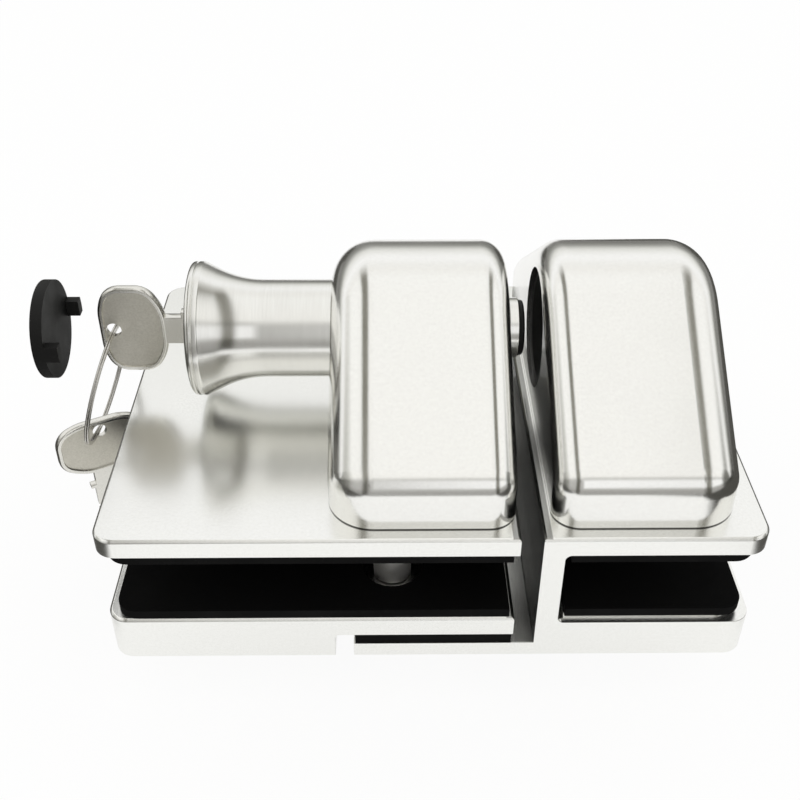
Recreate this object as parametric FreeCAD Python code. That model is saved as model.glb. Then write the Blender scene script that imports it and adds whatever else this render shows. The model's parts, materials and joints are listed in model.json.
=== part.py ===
"""Glass gate latch: a sliding bolt unit and its keeper, each clamped on its own glass panel.

Millimetres. +X runs along the bolt towards the keeper, +Y across the plates, +Z out of the glass
towards the housings. The origin is midway between the two halves, on the middle plane of the glass.
"""
import FreeCAD
import Part
import math
import os
from FreeCAD import Vector

# Glass panels and the soft layers that grip them
glass_thickness = 12.0
gasket_thickness = 2.0
gasket_side_inset = 0.4
gasket_free_end_inset = 1.9
gasket_joint_end_inset = 1.0
gasket_corner_radius = 4.0

# Plates of the bolt unit and of the keeper
gap_between_halves = 4.0
plate_depth = 89.0
latch_length = 76.2
keeper_length = 40.7
front_plate_thickness = 4.0
back_plate_thickness = 10.0
plate_corner_radius = 4.0
plate_chamfer = 0.5

# Step under the back plate, and the tongue of the keeper that lies in it
step_from_joint_end = 33.7
thin_plate_thickness = 4.4
step_corner_radius = 1.0
tongue_thickness = 3.2
tongue_reach = 34.2
stop_pad_clearance = 0.3
stop_pad_inset = 0.3

# Keeper clamp
web_thickness = 4.1
pressure_plate_thickness = 1.3
pressure_plate_inset = 1.0
slot_corner_radius = 1.2
set_screw_radius = 3.0
set_screw_spacing = 50.0
set_screw_socket = 3.0
set_screw_recess = 1.0

# Cast housings, alike on both halves and mirrored
housing_width = 34.0
housing_depth = 83.6
housing_edge_height = 9.75
housing_slope_deg = 33.0
housing_ridge_radius = 19.0
housing_front_radius = 6.0
housing_outer_radius = 8.5
housing_inner_radius = 5.0
housing_wall = 3.0
latch_housing_inset = 0.5
keeper_housing_inset = 1.8
boss_radius = 5.5

# Bolt line
axis_height = 16.0
bolt_radius = 6.0
bolt_tip_beyond_housing = 3.8
bolt_tip_length = 0.9
bolt_tip_inset = 0.5
bolt_travel = 8.0
bolt_stem_radius = 4.0
bolt_stem_length = 9.0
bolt_edge_round = 0.4
running_clearance = 0.06

# Knob with its flared grip
shank_radius = 9.7
knob_short_of_plate = 12.7
flare_length = 12.4
flare_rise = 3.6
rim_length = 3.6
rim_round = 1.2
rim_neck_round = 0.5
stop_flange_radius = 11.8
stop_flange_length = 2.5
stop_flange_setback = 14.5
end_recess_radius = 10.0
end_recess_depth = 2.6

# Bushes and spring of the bolt line
knob_bush_radius = 13.0
knob_bush_boss_wall = 1.1
bush_seat_clearance = 0.03
axial_clearance = 0.3
bolt_bush_flange_radius = 7.4
bolt_bush_flange_length = 0.8
bolt_bush_body_radius = 7.0
bolt_bush_inner_length = 2.0
spring_mean_radius = 9.2
spring_wire_radius = 0.5
spring_turns = 5
spring_steps_per_turn = 18

# Lock in the knob
barrel_radius = 8.0
barrel_end_play = 0.4
plug_radius = 4.4
plug_length = 18.0
plug_neck_radius = 3.4
clip_setback = 1.6
clip_thickness = 0.8
clip_play = 0.05
clip_radius = 5.6
clip_mouth = 3.0
clip_chamber_radius = 6.4
cam_thickness = 1.6
cam_radius = 4.2
cam_nose_radius = 5.9
cam_nose_width = 3.6
tail_width = 3.0
keyway_clearance = 0.15
pin_screw_radius = 1.5
pin_screw_from_wall = 7.5

# Keys
key_thickness = 1.8
bow_half_height = 9.6
bow_side_half_height = 4.5
bow_length = 13.3
bow_end_to_hole = 2.7
bow_corner_radius = 2.2
bow_top_start = 1.7
bow_top_end = 10.3
key_hole_radius = 1.5
key_chamfer = 0.35
key_neck_height = 6.0
key_neck_length = 3.1
key_shoulder_height = 8.4
key_shoulder_length = 0.8
key_blade_height = 6.6
key_blade_short_of_plug = 3.0
key_cut_depths = (1.1, 1.9, 0.8, 1.5)
key_cut_start = 3.2
key_cut_end = 4.0
key_cut_flat = 0.8
key_cut_flank = 0.35
hole_ahead_of_knob = 14.5

# Split ring and the spare key on it
ring_mean_radius = 13.0
ring_band_width = 1.0
ring_band_height = 1.0
ring_groove = 0.12
ring_tilt_deg = 16.5
ring_yaw_deg = -4.0
ring_rest_gap = 0.08
spare_yaw_deg = 28.0
spare_rest_gap = 0.05

# Cap of the keyhole, taken off and held clear of the knob
cap_radius = 9.8
cap_thickness = 2.4
cap_round = 0.4
cap_to_knob = 25.9
peg_length = 2.6
peg_width = 3.3
peg_depth = 2.2
peg_clearance = 0.15

# Screws through the glass and into the housings
stud_offset = 22.8
stud_spacing = 64.0
stud_radius = 3.65
stud_thread_radius = 2.5
stud_thread_length = 9.0
stud_bore_radius = 2.0
stud_bore_depth = 9.0
gasket_hole_radius = 5.9
screw_clearance = 0.05
screw_head_radius = 3.9
screw_head_height = 2.0
clamp_screw_reach = 8.0
housing_screw_radius = 2.0
housing_screw_reach = 8.0
screw_socket = 2.5
screw_socket_depth = 1.4

# Striker in the keeper
striker_radius = 12.0
striker_recess = 1.0
striker_flange_radius = 13.9
striker_flange_length = 1.5
striker_mouth_radius = 10.4
striker_cone_length = 3.0
striker_bore_radius = 6.8
striker_bore_end = 8.2
striker_tube_radius = 9.6
magnet_radius = 8.0
magnet_length = 5.0

# Levels and ends worked out from the sizes above
half_glass = glass_thickness / 2
half_slot = half_glass + gasket_thickness
front_top = half_slot + front_plate_thickness
back_bottom = -half_slot - back_plate_thickness
thin_bottom = -half_slot - thin_plate_thickness
tongue_top = back_bottom + tongue_thickness
half_depth = plate_depth / 2
latch_right = -gap_between_halves / 2
latch_left = latch_right - latch_length
keeper_left = gap_between_halves / 2
keeper_right = keeper_left + keeper_length
slot_end = keeper_left + web_thickness
keeper_floor = -half_slot - pressure_plate_thickness
axis_z = front_top + axis_height
latch_housing_right = latch_right - latch_housing_inset
latch_housing_left = latch_housing_right - housing_width
keeper_housing_left = keeper_left + keeper_housing_inset
keeper_housing_right = keeper_housing_left + housing_width
stud_x = latch_right - stud_offset
keeper_screw_x = (keeper_housing_left + keeper_housing_right) / 2
bolt_end = latch_housing_right + bolt_tip_beyond_housing
inner_wall_left = latch_housing_left + housing_wall
inner_wall_right = latch_housing_right - housing_wall
knob_end = latch_left + knob_short_of_plate
rim_start = knob_end + rim_length
flare_start = rim_start + flare_length
recess_floor = knob_end + end_recess_depth
rim_radius = shank_radius + flare_rise
flange_right = inner_wall_left + stop_flange_setback - stop_flange_length
flange_left = flange_right - stop_flange_length
key_hole_x = knob_end - hole_ahead_of_knob
barrel_bore_length = plug_length - clip_setback
barrel_length = plug_length + cam_thickness + barrel_end_play
key_blade_in_plug = plug_length - key_blade_short_of_plug
key_cut_pitch = (key_blade_in_plug - key_cut_start - key_cut_end) / (len(key_cut_depths) - 1)


def box(x0, x1, y0, y1, z0, z1):
    """Block between two corners."""
    return Part.makeBox(x1 - x0, y1 - y0, z1 - z0, Vector(x0, y0, z0))


def rod(x0, x1, radius):
    """Round bar along the bolt line."""
    return Part.makeCylinder(radius, x1 - x0, Vector(x0, 0, axis_z), Vector(1, 0, 0))


def tube(x0, x1, outer, inner):
    """Round tube along the bolt line."""
    return rod(x0, x1, outer).cut(rod(x0, x1, inner))


def post(x, y, z0, z1, radius):
    """Round bar across the plates."""
    return Part.makeCylinder(radius, z1 - z0, Vector(x, y, z0), Vector(0, 0, 1))


def pair(make_one, spacing):
    """The same solid at both sides of the middle plane, as a list."""
    return [make_one(side * spacing / 2) for side in (-1, 1)]


def polygon(points):
    """Closed wire through a list of points."""
    return Part.makePolygon(points + [points[0]])


def upright_edges(solid, x, tolerance=0.01):
    """Edges along Z that stand at one end of a plate."""
    found = []
    for edge in solid.Edges:
        first, last = edge.Vertexes[0].Point, edge.Vertexes[-1].Point
        along_z = abs(first.x - last.x) < tolerance and abs(first.y - last.y) < tolerance
        if along_z and abs(first.x - x) < tolerance:
            found.append(edge)
    return found


def edges_at_level(solid, z, x_limits=None, tolerance=0.01):
    """Edges that lie flat at one height, within limits along X if given."""
    found = []
    for edge in solid.Edges:
        bounds = edge.BoundBox
        if abs(bounds.ZMin - z) > tolerance or abs(bounds.ZMax - z) > tolerance:
            continue
        if x_limits and (bounds.XMin < x_limits[0] - tolerance or bounds.XMax > x_limits[1] + tolerance):
            continue
        found.append(edge)
    return found


def countersunk_screw(x, y, z_face, direction, radius, reach):
    """Flat-head screw with a hex socket: its head is flush with z_face and it points along direction."""
    head = Part.makeCone(screw_head_radius, radius, screw_head_height, Vector(x, y, z_face), Vector(0, 0, direction))
    shank = Part.makeCylinder(radius, reach, Vector(x, y, z_face), Vector(0, 0, direction))
    socket = hexagon_prism(x, y, z_face, direction, screw_socket, screw_socket_depth)
    return head.fuse(shank).removeSplitter().cut(socket)


def countersink(x, y, z_face, direction, radius, depth):
    """Seat and hole for a flat-head screw, with clearance all round."""
    wide = screw_head_radius + screw_clearance
    narrow = radius + screw_clearance
    seat = Part.makeCone(wide, narrow, screw_head_height, Vector(x, y, z_face), Vector(0, 0, direction))
    hole = Part.makeCylinder(narrow, depth, Vector(x, y, z_face), Vector(0, 0, direction))
    return seat.fuse(hole)


def hexagon_prism(x, y, z_face, direction, across_flats, depth):
    """Hex socket cut from a face."""
    corner = across_flats / 2 / math.cos(math.radians(30))
    angles = [math.radians(60 * step) for step in range(6)]
    points = [Vector(x + corner * math.cos(a), y + corner * math.sin(a), z_face) for a in angles]
    return Part.Face(polygon(points)).extrude(Vector(0, 0, direction * depth))


def flat_slab(x0, x1, z0, z1, side_inset, corner_ends, radius):
    """Slab over the plate's depth with rounded corners at the ends named."""
    slab = box(x0, x1, -half_depth + side_inset, half_depth - side_inset, z0, z1)
    corners = []
    for end in corner_ends:
        corners += upright_edges(slab, end)
    return slab.makeFillet(radius, corners)


def latch_front_plate():
    """Plate under the housing of the bolt unit."""
    plate = flat_slab(latch_left, latch_right, half_slot, front_top, 0, [latch_left], plate_corner_radius)
    plate = plate.makeChamfer(plate_chamfer, edges_at_level(plate, front_top))
    holes = pair(lambda y: post(stud_x, y, half_slot, front_top, stud_thread_radius + screw_clearance), stud_spacing)
    return plate.cut(Part.makeCompound(holes))


def latch_back_plate():
    """Plate behind the glass, thick at its free end and stepped where the tongue lies."""
    step_x = latch_right - step_from_joint_end
    corners = [
        Vector(latch_left, 0, -half_slot),
        Vector(latch_right, 0, -half_slot),
        Vector(latch_right, 0, thin_bottom),
        Vector(step_x, 0, thin_bottom),
        Vector(step_x, 0, back_bottom),
        Vector(latch_left, 0, back_bottom),
    ]
    section = Part.Face(polygon(corners))
    section.translate(Vector(0, -half_depth, 0))
    plate = section.extrude(Vector(0, plate_depth, 0))
    plate = plate.makeFillet(plate_corner_radius, upright_edges(plate, latch_left))
    inner_edges = edges_at_level(plate, thin_bottom, (step_x, step_x))
    plate = plate.makeFillet(step_corner_radius, inner_edges)
    plate = plate.makeChamfer(plate_chamfer, edges_at_level(plate, -half_slot))
    depth = thin_plate_thickness
    seats = pair(lambda y: countersink(stud_x, y, thin_bottom, 1, stud_bore_radius, depth), stud_spacing)
    return plate.cut(Part.makeCompound(seats))


def latch_gasket(z0):
    """Soft sheet between a plate of the bolt unit and the glass, holed for the studs."""
    left = latch_left + gasket_free_end_inset
    right = latch_right - gasket_joint_end_inset
    z1 = z0 + gasket_thickness
    sheet = flat_slab(left, right, z0, z1, gasket_side_inset, [left], gasket_corner_radius)
    holes = pair(lambda y: post(stud_x, y, z0, z1, gasket_hole_radius), stud_spacing)
    return sheet.cut(Part.makeCompound(holes))


def keeper_gasket(z0):
    """Soft sheet in the keeper's slot."""
    left = slot_end + slot_corner_radius
    right = keeper_right - gasket_free_end_inset
    z1 = z0 + gasket_thickness
    return flat_slab(left, right, z0, z1, gasket_side_inset, [right], gasket_corner_radius)


def arc_through(center, radius, start_deg, end_deg, x):
    """Arc in a plane across the bolt, by its angles from +Y towards +Z."""
    points = []
    for angle in (start_deg, (start_deg + end_deg) / 2, end_deg):
        a = math.radians(angle)
        points.append(Vector(x, center[0] + radius * math.cos(a), center[1] + radius * math.sin(a)))
    return Part.Arc(points[0], points[1], points[2]).toShape()


def housing_form(x_outer, x_inner, inset):
    """Gabled block with a rounded ridge and rolled edges; inset shrinks it evenly for the hollow."""
    half = housing_depth / 2 - inset
    slope = math.radians(housing_slope_deg)
    ridge_radius = housing_ridge_radius - inset
    edge_z = front_top + housing_edge_height + (inset * math.tan(slope) - inset / math.cos(slope))
    sharp_ridge_z = edge_z + half * math.tan(slope)
    center_z = sharp_ridge_z - ridge_radius / math.cos(slope)
    tangent_y = ridge_radius * math.sin(slope)
    tangent_z = center_z + ridge_radius * math.cos(slope)
    base_z = front_top
    toward_inner = 1 if x_inner > x_outer else -1
    start_x = x_outer + toward_inner * inset
    end_x = x_inner - toward_inner * inset
    lines = [
        (Vector(start_x, -tangent_y, tangent_z), Vector(start_x, -half, edge_z)),
        (Vector(start_x, -half, edge_z), Vector(start_x, -half, base_z)),
        (Vector(start_x, -half, base_z), Vector(start_x, half, base_z)),
        (Vector(start_x, half, base_z), Vector(start_x, half, edge_z)),
        (Vector(start_x, half, edge_z), Vector(start_x, tangent_y, tangent_z)),
    ]
    ridge = arc_through((0, center_z), ridge_radius, 90 - housing_slope_deg, 90 + housing_slope_deg, start_x)
    outline = Part.Wire([Part.LineSegment(a, b).toShape() for a, b in lines] + [ridge])
    block = Part.Face(outline).extrude(Vector(end_x - start_x, 0, 0))
    block = round_rim(block, start_x, housing_outer_radius - inset)
    block = round_rim(block, end_x, housing_inner_radius - inset)
    return round_brow(block, half, edge_z, housing_front_radius - inset)


def round_rim(block, x, radius):
    """Roll the edges of one side face, all but its foot."""
    rim = []
    for edge in block.Edges:
        bounds = edge.BoundBox
        at_side = abs(bounds.XMin - x) < 0.01 and abs(bounds.XMax - x) < 0.01
        if at_side and bounds.ZMax > front_top + 0.01:
            rim.append(edge)
    return block.makeFillet(radius, rim)


def round_brow(block, half, edge_z, radius):
    """Roll the long edges where the upright faces meet the slopes."""
    brow = []
    for edge in block.Edges:
        bounds = edge.BoundBox
        flat = bounds.ZMax - bounds.ZMin < 0.01 and bounds.YMax - bounds.YMin < 0.01
        if flat and abs(abs(bounds.YMin) - half) < 0.02 and abs(bounds.ZMin - edge_z) < 0.02:
            brow.append(edge)
    return block.makeFillet(radius, brow)


def hollow_housing(x_outer, x_inner, boss_x):
    """Cast shell, open at its foot, with two screw bosses that run up into the slopes."""
    outside = housing_form(x_outer, x_inner, 0)
    inside = housing_form(x_outer, x_inner, housing_wall)
    roof = outside.BoundBox.ZMax
    bosses = pair(lambda y: post(boss_x, y, front_top, roof, boss_radius), stud_spacing)
    shell = outside.cut(inside)
    return shell.fuse([boss.common(outside) for boss in bosses])


def latch_housing():
    """Shell of the bolt unit with the seat of the knob's bush."""
    shell = hollow_housing(latch_housing_left, latch_housing_right, stud_x)
    seat_end = flange_left - axial_clearance
    outer = knob_bush_radius + knob_bush_boss_wall
    seat = tube(inner_wall_left - 0.5, seat_end, outer, knob_bush_radius + bush_seat_clearance)
    shell = shell.fuse(seat)
    shell = shell.cut(rod(latch_housing_left - 1, inner_wall_left + 1, shank_radius + 2 * running_clearance))
    shell = shell.cut(rod(inner_wall_left, seat_end, knob_bush_radius + bush_seat_clearance))
    hole = bolt_bush_body_radius + bush_seat_clearance
    shell = shell.cut(rod(inner_wall_right - 1, latch_housing_right + 1, hole))
    threads = pair(lambda y: post(stud_x, y, front_top, front_top + stud_thread_length - front_plate_thickness + 1.0,
                                  stud_thread_radius + screw_clearance), stud_spacing)
    return shell.cut(Part.makeCompound(threads)).removeSplitter()


def keeper_housing():
    """Shell of the keeper with the mouth for the striker."""
    shell = hollow_housing(keeper_housing_right, keeper_housing_left, keeper_screw_x)
    wall_inside = keeper_housing_left + housing_wall
    mouth = rod(keeper_housing_left - 1, wall_inside + 1, striker_radius + bush_seat_clearance)
    seat = rod(wall_inside, wall_inside + striker_flange_length + 1, striker_flange_radius + bush_seat_clearance)
    reach = housing_screw_reach - front_plate_thickness + 1.0
    threads = pair(lambda y: post(keeper_screw_x, y, front_top, front_top + reach,
                                  housing_screw_radius + screw_clearance), stud_spacing)
    return shell.cut(mouth).cut(seat).cut(Part.makeCompound(threads)).removeSplitter()


def glass_studs():
    """Shoulder studs that cross the glass, screw into the housing and take the clamp screws."""
    def one(y):
        body = post(stud_x, y, -half_slot + axial_clearance, half_slot, stud_radius)
        thread = post(stud_x, y, half_slot, half_slot + stud_thread_length, stud_thread_radius)
        low = -half_slot + axial_clearance
        bore = post(stud_x, y, low, low + stud_bore_depth, stud_bore_radius + screw_clearance)
        return body.fuse(thread).removeSplitter().cut(bore)
    return Part.makeCompound(pair(one, stud_spacing))


def clamp_screws():
    """Flat-head screws through the back plate into the studs."""
    reach = thin_plate_thickness + clamp_screw_reach
    return Part.makeCompound(pair(lambda y: countersunk_screw(stud_x, y, thin_bottom, 1, stud_bore_radius, reach),
                                  stud_spacing))


def keeper_body():
    """One-piece clamp of the keeper: two jaws, the web between them and the tongue."""
    tongue_end = keeper_left - tongue_reach
    corners = [
        Vector(tongue_end, 0, back_bottom),
        Vector(keeper_right, 0, back_bottom),
        Vector(keeper_right, 0, keeper_floor),
        Vector(slot_end, 0, keeper_floor),
        Vector(slot_end, 0, half_slot),
        Vector(keeper_right, 0, half_slot),
        Vector(keeper_right, 0, front_top),
        Vector(keeper_left, 0, front_top),
        Vector(keeper_left, 0, tongue_top),
        Vector(tongue_end, 0, tongue_top),
    ]
    section = Part.Face(polygon(corners))
    section.translate(Vector(0, -half_depth, 0))
    body = section.extrude(Vector(0, plate_depth, 0))
    slot_corners = edges_at_level(body, keeper_floor, (slot_end, slot_end))
    slot_corners += edges_at_level(body, half_slot, (slot_end, slot_end))
    body = body.makeFillet(slot_corner_radius, slot_corners)
    body = body.makeFillet(plate_corner_radius, upright_edges(body, keeper_right))
    body = body.makeChamfer(plate_chamfer, edges_at_level(body, front_top))
    grub_holes = pair(lambda y: post(keeper_screw_x, y, back_bottom, keeper_floor,
                                     set_screw_radius + bush_seat_clearance), set_screw_spacing)
    seats = pair(lambda y: countersink(keeper_screw_x, y, half_slot, 1, housing_screw_radius,
                                       front_plate_thickness), stud_spacing)
    return body.cut(Part.makeCompound(grub_holes + seats))


def pressure_plate():
    """Thin plate that spreads the set screws' load under the keeper's back gasket."""
    left = slot_end + slot_corner_radius
    right = keeper_right - gasket_free_end_inset - pressure_plate_inset
    inset = gasket_side_inset + pressure_plate_inset
    return flat_slab(left, right, keeper_floor, -half_slot, inset, [right], gasket_corner_radius)


def keeper_set_screws():
    """Socket set screws behind the pressure plate."""
    def one(y):
        low = back_bottom + set_screw_recess
        screw = post(keeper_screw_x, y, low, keeper_floor, set_screw_radius)
        return screw.cut(hexagon_prism(keeper_screw_x, y, low, 1, set_screw_socket, set_screw_socket))
    return Part.makeCompound(pair(one, set_screw_spacing))


def keeper_housing_screws():
    """Flat-head screws from inside the slot into the keeper's housing."""
    return Part.makeCompound(pair(lambda y: countersunk_screw(keeper_screw_x, y, half_slot, 1, housing_screw_radius,
                                                              housing_screw_reach), stud_spacing))


def stop_pad():
    """Soft strip on the tongue that the gate closes against."""
    left = keeper_left - tongue_reach + stop_pad_inset
    right = latch_right - stop_pad_inset
    top = thin_bottom - stop_pad_clearance
    return box(left, right, -half_depth + stop_pad_inset, half_depth - stop_pad_inset, tongue_top, top)


def knob():
    """Flared pull knob, its shank and the stop flange inside the housing, turned in one piece."""
    flare_angle = 2 * math.atan(flare_rise / flare_length)
    flare_radius = flare_length / math.sin(flare_angle)
    middle = flare_angle / 2
    mid_x = flare_start - flare_radius * math.sin(middle)
    mid_r = shank_radius + flare_radius * (1 - math.cos(middle))
    bore_end = recess_floor + barrel_length + axial_clearance
    stem_start = flange_right - bolt_stem_length
    z = axis_z
    flare = Part.Arc(Vector(flare_start, 0, z + shank_radius), Vector(mid_x, 0, z + mid_r),
                     Vector(rim_start, 0, z + rim_radius)).toShape()
    points = [
        Vector(rim_start, 0, z + rim_radius),
        Vector(knob_end, 0, z + rim_radius),
        Vector(knob_end, 0, z),
        Vector(flange_right, 0, z),
        Vector(flange_right, 0, z + stop_flange_radius),
        Vector(flange_left, 0, z + stop_flange_radius),
        Vector(flange_left, 0, z + shank_radius),
        Vector(flare_start, 0, z + shank_radius),
    ]
    sides = [Part.LineSegment(a, b).toShape() for a, b in zip(points[:-1], points[1:])]
    body = Part.Face(Part.Wire([flare] + sides)).revolve(Vector(0, 0, z), Vector(1, 0, 0), 360)
    body = body.makeFillet(rim_round, round_edges(body, knob_end, rim_radius))
    body = body.makeFillet(rim_neck_round, round_edges(body, rim_start, rim_radius))
    body = body.cut(rod(knob_end - 1, recess_floor, end_recess_radius))
    body = body.cut(rod(recess_floor - 1, bore_end, barrel_radius + bush_seat_clearance))
    body = body.cut(rod(stem_start - axial_clearance, flange_right + 1, bolt_stem_radius + bush_seat_clearance))
    return body.cut([pin_screw_hole()] + cap_sockets())


def round_edges(solid, x, radius):
    """Circles of one radius that lie across the bolt line at x."""
    found = []
    for edge in solid.Edges:
        bounds = edge.BoundBox
        across = abs(bounds.XMin - x) < 0.01 and abs(bounds.XMax - x) < 0.01
        if across and abs((bounds.ZMax - axis_z) - radius) < 0.05:
            found.append(edge)
    return found


def pin_screw_x():
    """Where the screw that holds the bolt's stem crosses the shank."""
    return inner_wall_left + pin_screw_from_wall


def pin_screw_hole():
    """Cross hole of the pin screw."""
    radius = pin_screw_radius + screw_clearance
    return Part.makeCylinder(radius, shank_radius + 1, Vector(pin_screw_x(), 0, axis_z), Vector(0, 0, 1))


def pin_screw():
    """Screw that pins the bolt's stem in the shank, sunk below the shank's surface."""
    length = shank_radius - 2 * axial_clearance
    return Part.makeCylinder(pin_screw_radius, length, Vector(pin_screw_x(), 0, axis_z), Vector(0, 0, 1))


def bolt():
    """Round bolt with the stem that fills the shank's end."""
    tip_face = bolt_end - bolt_tip_length
    head = rod(flange_right, tip_face, bolt_radius)
    head = head.makeFillet(bolt_edge_round, round_edges(head, tip_face, bolt_radius))
    stem = rod(flange_right - bolt_stem_length, flange_right, bolt_stem_radius)
    return head.fuse(stem).removeSplitter().cut(pin_screw_hole())


def bolt_tip():
    """Dark disc on the bolt's face."""
    disc = rod(bolt_end - bolt_tip_length, bolt_end, bolt_radius - bolt_tip_inset)
    return disc.makeFillet(bolt_edge_round, round_edges(disc, bolt_end, bolt_radius - bolt_tip_inset))


def knob_bush():
    """Plastic sleeve that guides the shank."""
    return tube(inner_wall_left, flange_left - axial_clearance, knob_bush_radius, shank_radius + running_clearance)


def bolt_bush():
    """Plastic sleeve that guides the bolt, with a flange outside the housing."""
    flange_end = latch_housing_right + bolt_bush_flange_length
    flange = rod(latch_housing_right, flange_end, bolt_bush_flange_radius)
    body = rod(inner_wall_right - bolt_bush_inner_length, latch_housing_right, bolt_bush_body_radius)
    bore = rod(inner_wall_right - bolt_bush_inner_length - 1, flange_end + 1, bolt_radius + running_clearance)
    return flange.fuse(body).removeSplitter().cut(bore)


def return_spring():
    """Compression spring round the bolt that draws it back when the keeper is away."""
    start = flange_right + spring_wire_radius + axial_clearance
    end = inner_wall_right - spring_wire_radius - axial_clearance
    steps = spring_turns * spring_steps_per_turn
    sections = []
    for step in range(steps + 1):
        angle = 2 * math.pi * step / spring_steps_per_turn
        out = Vector(0, math.cos(angle), math.sin(angle))
        along = Vector(1, 0, 0)
        x = start + (end - start) * step / steps
        center = Vector(x, 0, axis_z) + out * spring_mean_radius
        turns = [math.radians(60 * side) for side in range(6)]
        corners = [center + (out * math.cos(t) + along * math.sin(t)) * spring_wire_radius for t in turns]
        sections.append(polygon(corners))
    return Part.makeLoft(sections, True, True)


def lock_barrel():
    """Fixed body of the lock, with sockets for the cap's pegs."""
    body = rod(recess_floor, recess_floor + barrel_length, barrel_radius)
    body = body.cut(rod(recess_floor - 1, recess_floor + barrel_length + 1, plug_radius + running_clearance))
    chamber = rod(recess_floor + barrel_bore_length, recess_floor + barrel_length + 1, clip_chamber_radius)
    body = body.cut(chamber)
    return body.cut(cap_sockets())


def clip_start():
    """Where the plug's clip begins, just behind the barrel's bore."""
    return recess_floor + barrel_bore_length + clip_play


def lock_plug():
    """Turning part of the lock: slotted for the key, grooved for its clip, with a square tail."""
    end = recess_floor + plug_length
    body = rod(recess_floor, end, plug_radius)
    groove = tube(clip_start(), clip_start() + clip_thickness + clip_play, plug_radius + 1, plug_neck_radius)
    half_key = key_thickness / 2 + keyway_clearance
    half_height = key_blade_height / 2 + keyway_clearance
    depth = key_blade_in_plug + axial_clearance
    keyway = box(recess_floor - 1, recess_floor + depth, -half_key, half_key, axis_z - half_height, axis_z + half_height)
    body = body.cut(groove).cut(keyway)
    return body.fuse(square_tail(end, tail_width)).removeSplitter()


def square_tail(start, width):
    """Square end of the plug that carries its cam."""
    half = width / 2
    return box(start, start + cam_thickness, -half, half, axis_z - half, axis_z + half)


def lock_cam():
    """Cam on the plug's tail, with one nose."""
    start = recess_floor + plug_length
    end = start + cam_thickness
    nose = box(start, end, -cam_nose_width / 2, cam_nose_width / 2, axis_z, axis_z + cam_nose_radius)
    body = rod(start, end, cam_radius).fuse(nose).removeSplitter()
    return body.cut(square_tail(start, tail_width + 2 * bush_seat_clearance))


def plug_clip():
    """Clip that keeps the plug in its barrel."""
    start = clip_start()
    ring = tube(start, start + clip_thickness, clip_radius, plug_neck_radius + screw_clearance)
    half_mouth = clip_mouth / 2
    mouth = box(start - 1, start + clip_thickness + 1, -half_mouth, half_mouth, axis_z, axis_z + clip_radius + 1)
    return ring.cut(mouth)


def key_blank():
    """Key lying along +X with its hole at the origin: bow, neck, shoulder and cut blade."""
    half = key_thickness / 2
    left = -bow_end_to_hole
    right = left + bow_length
    top_start = left + bow_top_start
    top_end = left + bow_top_end
    upper = [
        Vector(left, -half, bow_side_half_height),
        Vector(top_start, -half, bow_half_height),
        Vector(top_end, -half, bow_half_height),
        Vector(right, -half, bow_side_half_height),
    ]
    lower = [Vector(point.x, -half, -point.z) for point in reversed(upper)]
    bow = Part.Face(polygon(upper + lower)).extrude(Vector(0, key_thickness, 0))
    across = [edge for edge in bow.Edges if edge.BoundBox.YLength > half]
    bow = bow.makeFillet(bow_corner_radius, across)
    rims = [edge for edge in bow.Edges if edge.BoundBox.YLength < 0.01]
    bow = bow.makeChamfer(key_chamfer, rims)
    neck_end = right + key_neck_length
    shoulder_end = neck_end + key_shoulder_length
    tip = shoulder_end + end_recess_depth + key_blade_in_plug
    neck = box(right - 1, neck_end, -half, half, -key_neck_height / 2, key_neck_height / 2)
    shoulder = box(neck_end, shoulder_end, -half, half, -key_shoulder_height / 2, key_shoulder_height / 2)
    blade = blade_outline(shoulder_end, tip).extrude(Vector(0, key_thickness, 0))
    hole = Part.makeCylinder(key_hole_radius, key_thickness + 2, Vector(0, -half - 1, 0), Vector(0, 1, 0))
    return bow.fuse([neck, shoulder, blade]).removeSplitter().cut(hole)


def blade_outline(start, tip):
    """Blade with its row of cuts below and a pointed end."""
    half = key_thickness / 2
    low = -key_blade_height / 2
    points = [Vector(start, -half, low)]
    for index, depth in enumerate(key_cut_depths):
        middle = start + end_recess_depth + key_cut_start + index * key_cut_pitch
        side = key_cut_flat / 2 + depth * key_cut_flank
        points.append(Vector(middle - side, -half, low))
        points.append(Vector(middle - key_cut_flat / 2, -half, low + depth))
        points.append(Vector(middle + key_cut_flat / 2, -half, low + depth))
        points.append(Vector(middle + side, -half, low))
    points.append(Vector(tip - key_blade_height / 3, -half, low))
    points.append(Vector(tip, -half, 0))
    points.append(Vector(tip - key_blade_height / 3, -half, -low))
    points.append(Vector(start, -half, -low))
    return Part.Face(polygon(points))


def key_in_lock():
    """Working key, pushed home in the plug."""
    key = key_blank()
    key.translate(Vector(key_hole_x, 0, axis_z))
    return key


def ring_hang_point():
    """Centre of the ring's band where it hangs in the first key's hole."""
    band_reach = math.hypot(ring_band_width, ring_band_height) / 2
    drop = key_hole_radius - band_reach - ring_rest_gap
    return Vector(key_hole_x, 0, axis_z - drop)


def turned(shape, point):
    """Tilt and turn a shape about the point that it hangs from."""
    shape.rotate(point, Vector(0, 1, 0), ring_tilt_deg)
    shape.rotate(point, Vector(0, 0, 1), ring_yaw_deg)
    return shape


def split_ring():
    """Flat split ring: its two turns are pressed together, with a groove between them."""
    top = ring_hang_point()
    center = top - Vector(0, 0, ring_mean_radius)
    half_width = ring_band_width / 2
    half_height = ring_band_height / 2
    section = [
        (-half_width, half_height),
        (0, half_height - ring_groove),
        (half_width, half_height),
        (half_width, -half_height),
        (0, -half_height + ring_groove),
        (-half_width, -half_height),
    ]
    points = [center + Vector(across, 0, ring_mean_radius + radial) for across, radial in section]
    ring = Part.Face(polygon(points)).revolve(center, Vector(1, 0, 0), 360)
    return turned(ring, top)


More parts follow.
